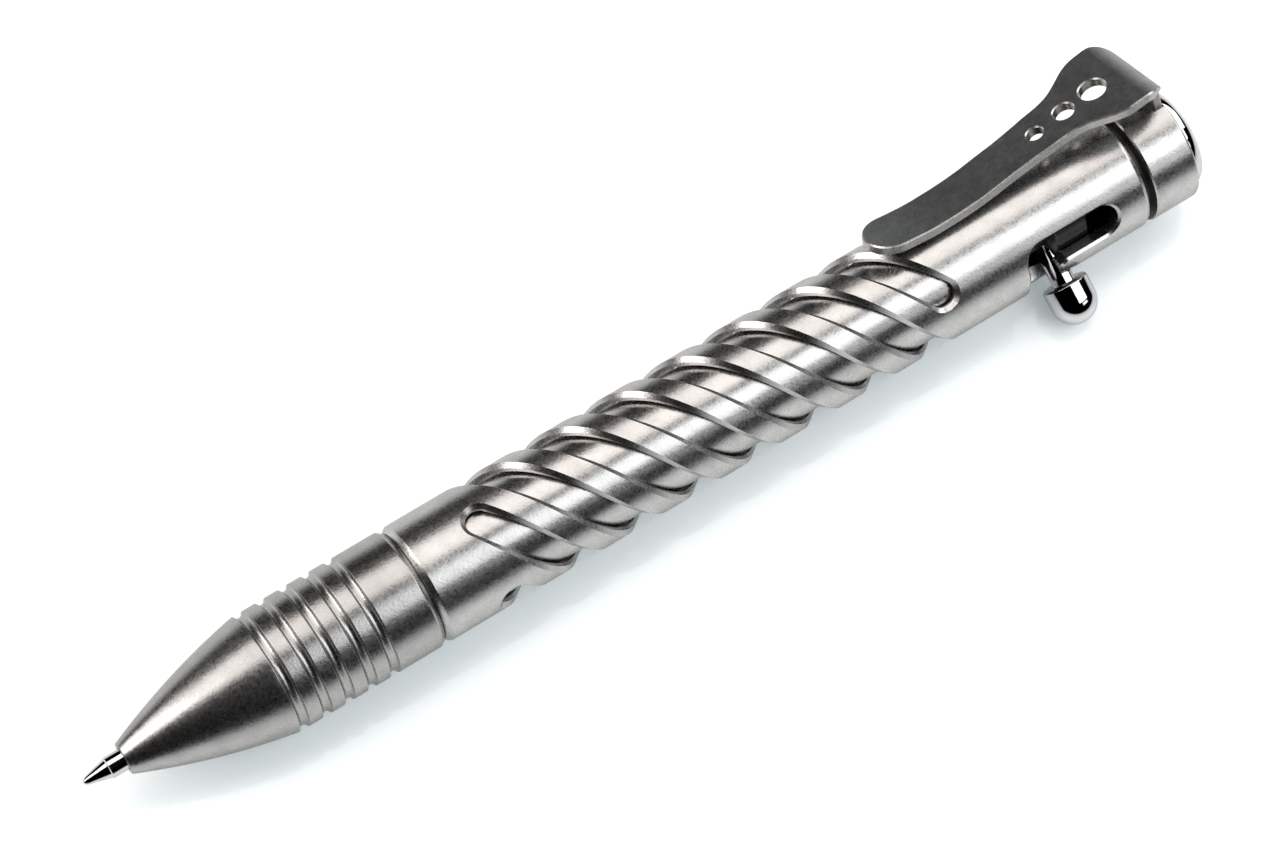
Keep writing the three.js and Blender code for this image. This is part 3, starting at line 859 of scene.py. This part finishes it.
    def build(self, shop: Workshop) -> None:
        """Builds the sleeve and cuts its slots."""
        starts = [self.helix_start + 360 * i / self.helix_count for i in range(self.helix_count)]
        cutters = [self.helix_cutter(start) for start in starts]
        cutters.append(self.hook_cutter())
        bm = carved(self.tube(), cutters)
        radii = (self.radius, self.bore, self.chamber_bore)
        shop.piece(bm, "sleeve", "barrel_sleeve", "barrel", TITANIUM, radii)


@dataclass
class LinerTube:
    """The inner tube that shows through the helical slots."""

    radius: float = 5.2
    bore: float = 3.35
    front: float = 41.65
    rear: float = 99.25
    edge: float = 0.1

    def build(self, shop: Workshop) -> None:
        """Builds the liner as one turned piece."""
        bm = spun(ring(self.front, self.rear, self.bore, self.radius))
        soften(bm, self.edge)
        shop.piece(bm, "liner", "liner_tube", "barrel", LINER_TITANIUM, even=True)


@dataclass
class RearCap:
    """The ring behind the sleeve, cut away for the clip's leg."""

    radius: float = BARREL_RADIUS
    front: float = 120.0
    rear: float = 125.15
    neck_front: float = 119.3
    neck_radius: float = 4.9
    tenon_front: float = 118.25
    tenon_radius: float = 4.55
    front_edge: float = 0.15
    rear_edge: float = 0.3
    edge_steps: int = 6
    recess_radius: float = 6.03
    recess_depth: float = 1.6
    stem_bore: float = 2.8
    bore_front: float = 121.15
    notch_width: float = 4.9
    notch_depth: float = 1.34
    notch_floor: float = 4.3
    clip_angle: float = CLIP_ANGLE

    def build(self, shop: Workshop) -> None:
        """Builds the cap and cuts the notch for the clip's leg."""
        edge = self.rear_edge
        outline = [
            (self.tenon_front, 0), (self.tenon_front, self.tenon_radius),
            (self.neck_front, self.tenon_radius), (self.neck_front, self.neck_radius),
            (self.front, self.neck_radius), (self.front, self.radius - self.front_edge),
            (self.front + self.front_edge, self.radius),
            *arc(self.rear - edge, self.radius - edge, edge, 90, 0, self.edge_steps),
            (self.rear, self.recess_radius), (self.rear - self.recess_depth, self.recess_radius),
            (self.rear - self.recess_depth, self.stem_bore),
            (self.bore_front, self.stem_bore), (self.bore_front, 0),
        ]
        notch = bmesh.new()
        depth, reach = self.notch_depth * 2, self.radius
        stretch = Matrix.Diagonal((depth, self.notch_width, reach, 1))
        middle = Matrix.Translation((self.rear, 0, reach / 2 + self.notch_floor))
        place = turned_up(self.clip_angle) @ middle @ stretch
        bmesh.ops.create_cube(notch, size=1, matrix=place)
        bm = carved(spun(outline), [notch])
        # The neck and the cap's front face, down in the groove, get the darker trim: painted shade.
        for face in bm.faces:
            face.material_index = int(face.calc_center_median().x < self.front + MERGE_DISTANCE)
        radii = (self.radius,)
        shop.piece(bm, "cap", "rear_cap", "barrel", TITANIUM, radii, trim=GROOVE_PAINTED_SHADE)


@dataclass
class EndScrew:
    """The screw with a mirror dome that closes the pen."""

    flange_radius: float = 5.9
    flange_front: float = 124.95
    rim_radius: float = 5.6
    rim_x: float = 125.15
    shoulder: float = 1.6
    top_spread: float = 25.0
    shoulder_steps: int = 24
    top_steps: int = 16
    stem_radius: float = 2.5
    stem_front: float = 121.45

    def dome(self) -> Profile:
        """The dome's outline: a round shoulder that runs smoothly into a flatter top."""
        middle, spread = self.rim_radius - self.shoulder, self.top_spread
        side = arc(self.rim_x, middle, self.shoulder, 90, spread, self.shoulder_steps)
        end_x, end_radius = side[-1]
        sphere = end_radius / math.sin(math.radians(spread))
        heart = end_x - sphere * math.cos(math.radians(spread))
        return side + arc(heart, 0, sphere, spread, 0, self.top_steps)[1:]

    def build(self, shop: Workshop) -> None:
        """Builds the screw as one turned piece."""
        outline = [
            (self.stem_front, 0), (self.stem_front, self.stem_radius),
            (self.flange_front, self.stem_radius), (self.flange_front, self.flange_radius),
            (self.rim_x, self.flange_radius),
            *self.dome(),
        ]
        shop.piece(spun(outline), "domed_screw", "end_screw", "barrel", MIRROR_STEEL)


@dataclass
class PocketClip:
    """The clip: a sprung arm that widens to a head, bends down to the cap and ends in an eyelet."""

    angle: float = CLIP_ANGLE
    thickness: float = 1.0
    arm_width: float = 5.55
    head_width: float = 11.1
    leg_width: float = 4.8
    leg_x: float = 124.85
    length: float = 33.5
    nose_length: float = 6.7
    nose_lift: float = 0.7
    nose_curve: float = 1.5
    touch_height: float = 7.65
    head_height: float = 10.85
    bend_radius: float = 3.0
    leg_knee: float = 6.35
    leg_foot: float = 3.7
    eyelet_hole: float = 2.8
    eyelet_radius: float = 4.6
    window_radius: float = 1.45
    window_shrink: float = 0.78
    window_pitch: float = 3.6
    window_count: int = 3
    edge: float = 0.13
    end_steps: int = 16
    nose_steps: int = 8
    arm_steps: int = 80
    bend_steps: int = 24
    side_tilt: float = 0.5
    wall_tilt: float = 0.8
    rise: Curve = (
        (0.0, 0.0), (0.084, 0.015), (0.168, 0.05), (0.252, 0.12), (0.336, 0.225),
        (0.42, 0.32), (0.504, 0.425), (0.588, 0.53), (0.672, 0.63), (0.735, 0.71),
        (0.8, 0.785), (0.853, 0.845), (0.903, 0.9), (0.945, 0.945), (1.0, 1.0),
    )
    shoulders: Curve = (
        (0.42, 0.0), (0.504, 0.027), (0.588, 0.08), (0.672, 0.12), (0.735, 0.24),
        (0.8, 0.53), (0.853, 0.8), (0.903, 0.96), (0.945, 1.0),
    )

    def stations(self) -> list[tuple[float, float, float]]:
        """Stations (x, height, half width) along the clip's outer face, from its free end."""
        tip = self.leg_x - self.length
        touch, bend = tip + self.nose_length, self.leg_x - self.bend_radius
        arm, head, leg = self.arm_width / 2, self.head_width / 2, self.leg_width / 2
        made = []
        for i in range(self.end_steps + 1):
            a = math.radians(90 * i / self.end_steps)
            x = tip + arm * (1 - math.cos(a))
            lift = self.nose_lift * ((touch - x) / self.nose_length) ** self.nose_curve
            made.append((x, self.touch_height + lift, arm * math.sin(a)))
        for i in range(1, self.nose_steps + 1):
            x = tip + arm + (self.nose_length - arm) * i / self.nose_steps
            lift = self.nose_lift * max((touch - x) / self.nose_length, 0) ** self.nose_curve
            made.append((x, self.touch_height + lift, arm))
        climb = self.head_height - self.touch_height
        for i in range(1, self.arm_steps + 1):
            share = i / self.arm_steps
            height = self.touch_height + climb * eased(self.rise, share)
            half = arm + (head - arm) * eased(self.shoulders, share)
            made.append((touch + (bend - touch) * share, height, half))
        for i in range(1, self.bend_steps + 1):
            a = math.radians(90 * i / self.bend_steps)
            drop = 1 - math.cos(a)
            x = bend + self.bend_radius * math.sin(a)
            made.append((x, self.head_height - self.bend_radius * drop, head + (leg - head) * drop))
        return made + [(self.leg_x, self.leg_knee, leg), (self.leg_x, self.leg_foot, leg)]

    def strip(self) -> BMesh:
        """The bent strip with its broken edges, still without windows, built straight up."""
        stations = self.stations()
        last = len(stations) - 1
        upper = ((True, 0.0), (False, self.edge))
        lower = ((False, self.thickness - self.edge), (True, self.thickness))
        section = [(1, *corner) for corner in upper + lower]
        section += [(-side, inset, depth) for side, inset, depth in reversed(section)]
        bm = bmesh.new()
        loops = []
        for i, (x, height, half) in enumerate(stations):
            before, after = stations[max(i - 1, 0)], stations[min(i + 1, last)]
            ahead = Vector((after[0] - before[0], 0, after[1] - before[1]))
            inward = Vector((after[2] - before[2], -ahead.length)).normalized() * self.edge
            ahead.normalize()
            outward = Vector((-ahead.z, 0, ahead.x))
            loop = []
            for side, inset, depth in section:
                place = Vector((x, 0, height)) - outward * depth
                place.y = side * half
                if inset:
                    place += ahead * inward.x
                    place.y = side * max(half + inward.y, 0)
                loop.append(bm.verts.new(place))
            loops.append(loop)
        for near, far in zip(loops, loops[1:]):
            for i, corner in enumerate(near):
                bm.faces.new((near[i - 1], corner, far[i], far[i - 1]))
        bm.faces.new(loops[-1])
        bmesh.ops.remove_doubles(bm, verts=bm.verts, dist=MERGE_DISTANCE)
        bmesh.ops.recalc_face_normals(bm, faces=bm.faces)
        return bm

    def window(self, x: float, radius: float) -> BMesh:
        """The cutter of one round window, square to the face and flared at its rim.

        Args:
            x: Where the window's middle is.
            radius: Its radius.

        Returns:
            The closed cutter.
        """
        stations = self.stations()
        i = next(n for n in range(1, len(stations)) if stations[n][0] >= x)
        (x0, height0, _), (x1, height1, _) = stations[i - 1], stations[i]
        height = height0 + (height1 - height0) * (x - x0) / (x1 - x0)
        depth, proud = 3 * self.thickness, self.thickness
        flared = radius + self.edge + proud
        outline = [(-depth, 0), (-depth, radius), (-self.edge, radius), (proud, flared), (proud, 0)]
        cutter = spun(outline, WINDOW_SEGMENTS)
        slope = math.atan2(height1 - height0, x1 - x0)
        turn = Matrix.Rotation(-slope - math.pi / 2, 4, "Y")
        place = Matrix.Translation((x, 0, height)) @ turn
        bmesh.ops.transform(cutter, matrix=place, verts=cutter.verts)
        return cutter

    def build(self, shop: Workshop) -> None:
        """Joins the strip and its eyelet and cuts the windows."""
        inner, outer = self.leg_x - self.thickness, self.leg_x
        outline = ring(inner, outer, self.eyelet_hole, self.eyelet_radius)
        eyelet = spun(outline, SMALL_SEGMENTS)
        body = carved(self.strip(), [eyelet], "UNION")
        first = self.leg_x - self.bend_radius - self.window_radius * 2
        windows = [
            self.window(first - self.window_pitch * i, self.window_radius * self.window_shrink**i)
            for i in range(self.window_count)
        ]
        bm = carved(body, windows)
        self.mark_edges(bm)
        bmesh.ops.transform(bm, matrix=turned_up(self.angle), verts=bm.verts)
        shop.piece(bm, "clip", "pocket_clip", "barrel", CLIP_TITANIUM, even=True, trim=CLIP_PAINTED_HIGHLIGHT)

    def mark_edges(self, bm: BMesh) -> None:
        """Gives the side walls, the window walls and all broken edges material number 1, the
        lighter and glossier copy of the clip metal that paints their highlight.
        """
        bend = self.leg_x - self.bend_radius
        for face in bm.faces:
            beside = abs(face.normal.y) > self.side_tilt
            steep = abs(face.normal.z) < self.wall_tilt
            upright = steep and face.calc_center_median().x < bend
            face.material_index = int(beside or upright)


@dataclass
class BoltAction:
    """The bolt's knob on its shank, and the plunger that carries it."""

    angle: float = BOLT_ANGLE
    x: float = 108.95
    shank_root: float = 1.2
    shank_radius: float = 1.2
    knob_face: float = 7.25
    knob_radius: float = 2.43
    knob_centre: float = 9.3
    knob_edge: float = 0.15
    knob_rounding: float = 0.04
    knob_least: float = 30
    dome_steps: int = 24
    plunger_front: float = 98.45
    plunger_rear: float = 112.85
    plunger_radius: float = 4.5
    neck_radius: float = 3.0
    plunger_edge: float = 0.25
    plunger_slope: float = 0.4
    hole_play: float = 0.05
    hole_floor: float = 0.9
    hole_top: float = 6.0

    def standing(self, profile: Profile) -> BMesh:
        """A body turned about the bolt's own axis, in its place on the pen.

        Args:
            profile: Corners as (reach from the pen's axis, radius).

        Returns:
            The closed mesh.
        """
        bm = spun(profile, FINE_SEGMENTS)
        upright = Matrix.Rotation(-math.pi / 2, 4, "Y")
        place = Matrix.Translation((self.x, 0, 0)) @ turned_up(self.angle) @ upright
        bmesh.ops.transform(bm, matrix=place, verts=bm.verts)
        return bm

    def build(self, shop: Workshop) -> None:
        """Builds the knob with its shank, and the plunger."""
        dome = arc(self.knob_centre, 0, self.knob_radius, 90, 0, self.dome_steps)
        knob = self.standing(
            [
                (self.shank_root, 0), (self.shank_root, self.shank_radius),
                (self.knob_face, self.shank_radius),
                (self.knob_face, self.knob_radius - self.knob_edge),
                (self.knob_face + self.knob_edge, self.knob_radius),
                *dome,
            ]
        )
        soften(knob, self.knob_rounding, least=self.knob_least)
        shop.piece(knob, "knob_and_shank", "bolt_knob", "bolt", MIRROR_STEEL, even=True)
        body_edge = self.plunger_radius - self.plunger_edge
        body = spun(
            [
                (self.plunger_front, 0),
                (self.plunger_front, self.neck_radius - self.plunger_edge),
                (self.plunger_front + self.plunger_edge, self.neck_radius),
                (self.x - self.plunger_slope, self.neck_radius),
                (self.x, body_edge),
                (self.x + self.plunger_edge, self.plunger_radius),
                (self.plunger_rear - self.plunger_edge, self.plunger_radius),
                (self.plunger_rear, body_edge), (self.plunger_rear, 0),
            ],
            SMALL_SEGMENTS,
        )
        bore = self.shank_radius + self.hole_play
        hole = self.standing(ring(self.hole_floor, self.hole_top, 0, bore))
        bm = carved(body, [hole])
        shop.piece(bm, "plunger_body", "plunger", "bolt", PLUNGER_BLACK)


@dataclass
class HiddenParts:
    """The CAD nodes inside the barrel, which keep their shape."""

    finishes: tuple[tuple[str, Finish], ...] = (
        ("return_spring", SPRING_WIRE),
        ("refill_tube", REFILL_STEEL),
        ("refill_plug", REFILL_BLACK),
        ("ink_column", INK),
    )
    spring: str = "return_spring"
    spring_seat: float = -0.0504
    push: float = 0.00245

    def dress(self, shop: Workshop) -> None:
        """Gives each hidden node its finish and gives the spring its own copy of its mesh."""
        for node, finish in self.finishes:
            shop.dress(node, finish)
        self.squash_spring()

    def squash_spring(self) -> None:
        """Gives the spring its own copy of its mesh."""
        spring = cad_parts[self.spring]
        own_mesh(spring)


# ---- the studio


@dataclass(frozen=True)
class SoftLight:
    """One soft panel above the pen."""

    name: str
    lean: float
    x: float
    width: float
    length: float
    tint: Colour
    brightness: float
    twist: float = 0.0
    distance: float = 0.7


@dataclass
class Studio:
    """The floor, the soft lights, the faint surrounding light and the camera."""

    air_glow: Colour = (0.5, 0.56, 0.585)
    floor_size: float = 1.2
    floor_drop: float = 0.02 * MM
    floor_tone: Colour = (0.68, 0.67, 0.66)
    floor_change: float = 0.02
    floor_clouds: float = 3.0
    floor_roughness: float = 0.08
    floor_glow: Colour = (0.19, 0.215, 0.225)
    nearest: float = 0.01
    lens: float = 128.8
    sensor: float = 36.0
    camera_at: tuple[float, float, float] = (-0.104125, -0.116773, 0.422251)
    camera_right: tuple[float, float, float] = (0.83583, -0.546446, 0.052769)
    camera_up: tuple[float, float, float] = (0.496627, 0.793578, 0.351562)
    panels: tuple[SoftLight, ...] = (
        SoftLight("side_panel", -27, 0.43, 0.38, 0.74, (0.95, 0.98, 1.0), 3.0),
        SoftLight("low_panel", -54, 0.42, 0.15, 0.4, (0.97, 0.98, 1.0), 1.8),
        SoftLight("top_panel", 24.5, 0.04, 0.52, 0.9, (1.0, 0.955, 0.93), 2.2, -12),
        SoftLight("front_panel", 40, -0.76, 0.7, 0.74, (1.0, 0.96, 0.94), 4.4),
        SoftLight("end_panel", 20, 0.83, 0.6, 0.94, (0.97, 0.99, 1.0), 3.0, distance=0.4),
    )

    def floor(self) -> None:
        """Lays the pale floor under the pen."""
        bm = bmesh.new()
        level = Matrix.Translation((0, 0, CAD_LOW.z - self.floor_drop))
        bmesh.ops.create_grid(bm, x_segments=1, y_segments=1, size=self.floor_size, matrix=level)
        floor = added("floor", meshed(bm, "floor"))
        material = blank_material("pale_floor")
        nodes = material.node_tree.nodes
        shader = nodes["Principled BSDF"]
        glow = (*self.floor_glow, 1)
        preset(shader, {"Roughness": self.floor_roughness, "Emission Color": glow})
        preset(shader, {"Emission Strength": 1.0})
        noise = preset(nodes.new("ShaderNodeTexNoise"), {"Scale": self.floor_clouds})
        tone = nodes.new("ShaderNodeMix")
        tone.data_type = "RGBA"
        paler = (c + self.floor_change for c in self.floor_tone)
        preset(tone, {"A": (*self.floor_tone, 1), "B": (*paler, 1)})
        where = nodes.new("ShaderNodeTexCoord")
        wire(
            material.node_tree,
            (where, "Object", noise, "Vector"),
            (noise, "Fac", tone, "Factor"),
            (tone, "Result", shader, "Base Color"),
        )
        floor.data.materials.append(material)

    def light(self, panel: SoftLight) -> None:
        """Hangs one soft panel, facing the pen."""
        data = bpy.data.lights.new(panel.name, "AREA")
        data.shape = "RECTANGLE"
        data.size = panel.length
        data.size_y = panel.width
        data.color = panel.tint
        data.energy = panel.brightness * math.pi * panel.length * panel.width
        lamp = added(panel.name, data)
        turn = turned_up(panel.lean)
        hung = turn @ Matrix.Translation((0, 0, panel.distance))
        twist = Matrix.Rotation(math.radians(panel.twist), 4, "Z")
        lamp.matrix_world = Matrix.Translation((panel.x, 0, 0)) @ hung @ twist

    def surround(self) -> None:
        """Sets the even light of the room, which brightens the floor but isn't mirrored."""
        world = bpy.data.worlds.new("room")
        world.use_nodes = True
        preset(world.node_tree.nodes["Background"], {"Color": (*self.air_glow, 1)})
        bpy.context.scene.world = world
        world.cycles_visibility.glossy = False

    def camera(self) -> None:
        """Sets up the camera at the photograph's viewing angle."""
        data = bpy.data.cameras.new("camera")
        data.lens = self.lens
        data.sensor_width = self.sensor
        data.clip_start = self.nearest
        camera = added("camera", data)
        right, up = Vector(self.camera_right), Vector(self.camera_up)
        back = right.cross(up)
        turn = Matrix((right, up, back)).transposed().to_4x4()
        camera.matrix_world = Matrix.Translation(self.camera_at) @ turn
        bpy.context.scene.camera = camera

    def tone_curve(self) -> None:
        """Shows the light as it is, with white at full brightness."""
        bpy.context.scene.view_settings.view_transform = "Standard"

    def build(self) -> None:
        """Sets up the whole studio."""
        self.tone_curve()
        self.camera()
        self.floor()
        self.surround()
        for panel in self.panels:
            self.light(panel)
        LOG.info("studio: %d soft panels", len(self.panels))


def main() -> None:
    """Builds the studio and every sub-assembly of the pen."""
    logging.basicConfig(level=logging.INFO, format="%(message)s")
    Studio().build()
    axis = PenAxis.of_frame()
    shop = Workshop(axis, Finisher(axis))
    for assembly in (
        WritingTip(),
        GripSection(),
        BarrelSleeve(),
        LinerTube(),
        RearCap(),
        EndScrew(),
        PocketClip(),
        BoltAction(),
    ):
        assembly.build(shop)
    HiddenParts().dress(shop)


if __name__ == "__main__":
    main()
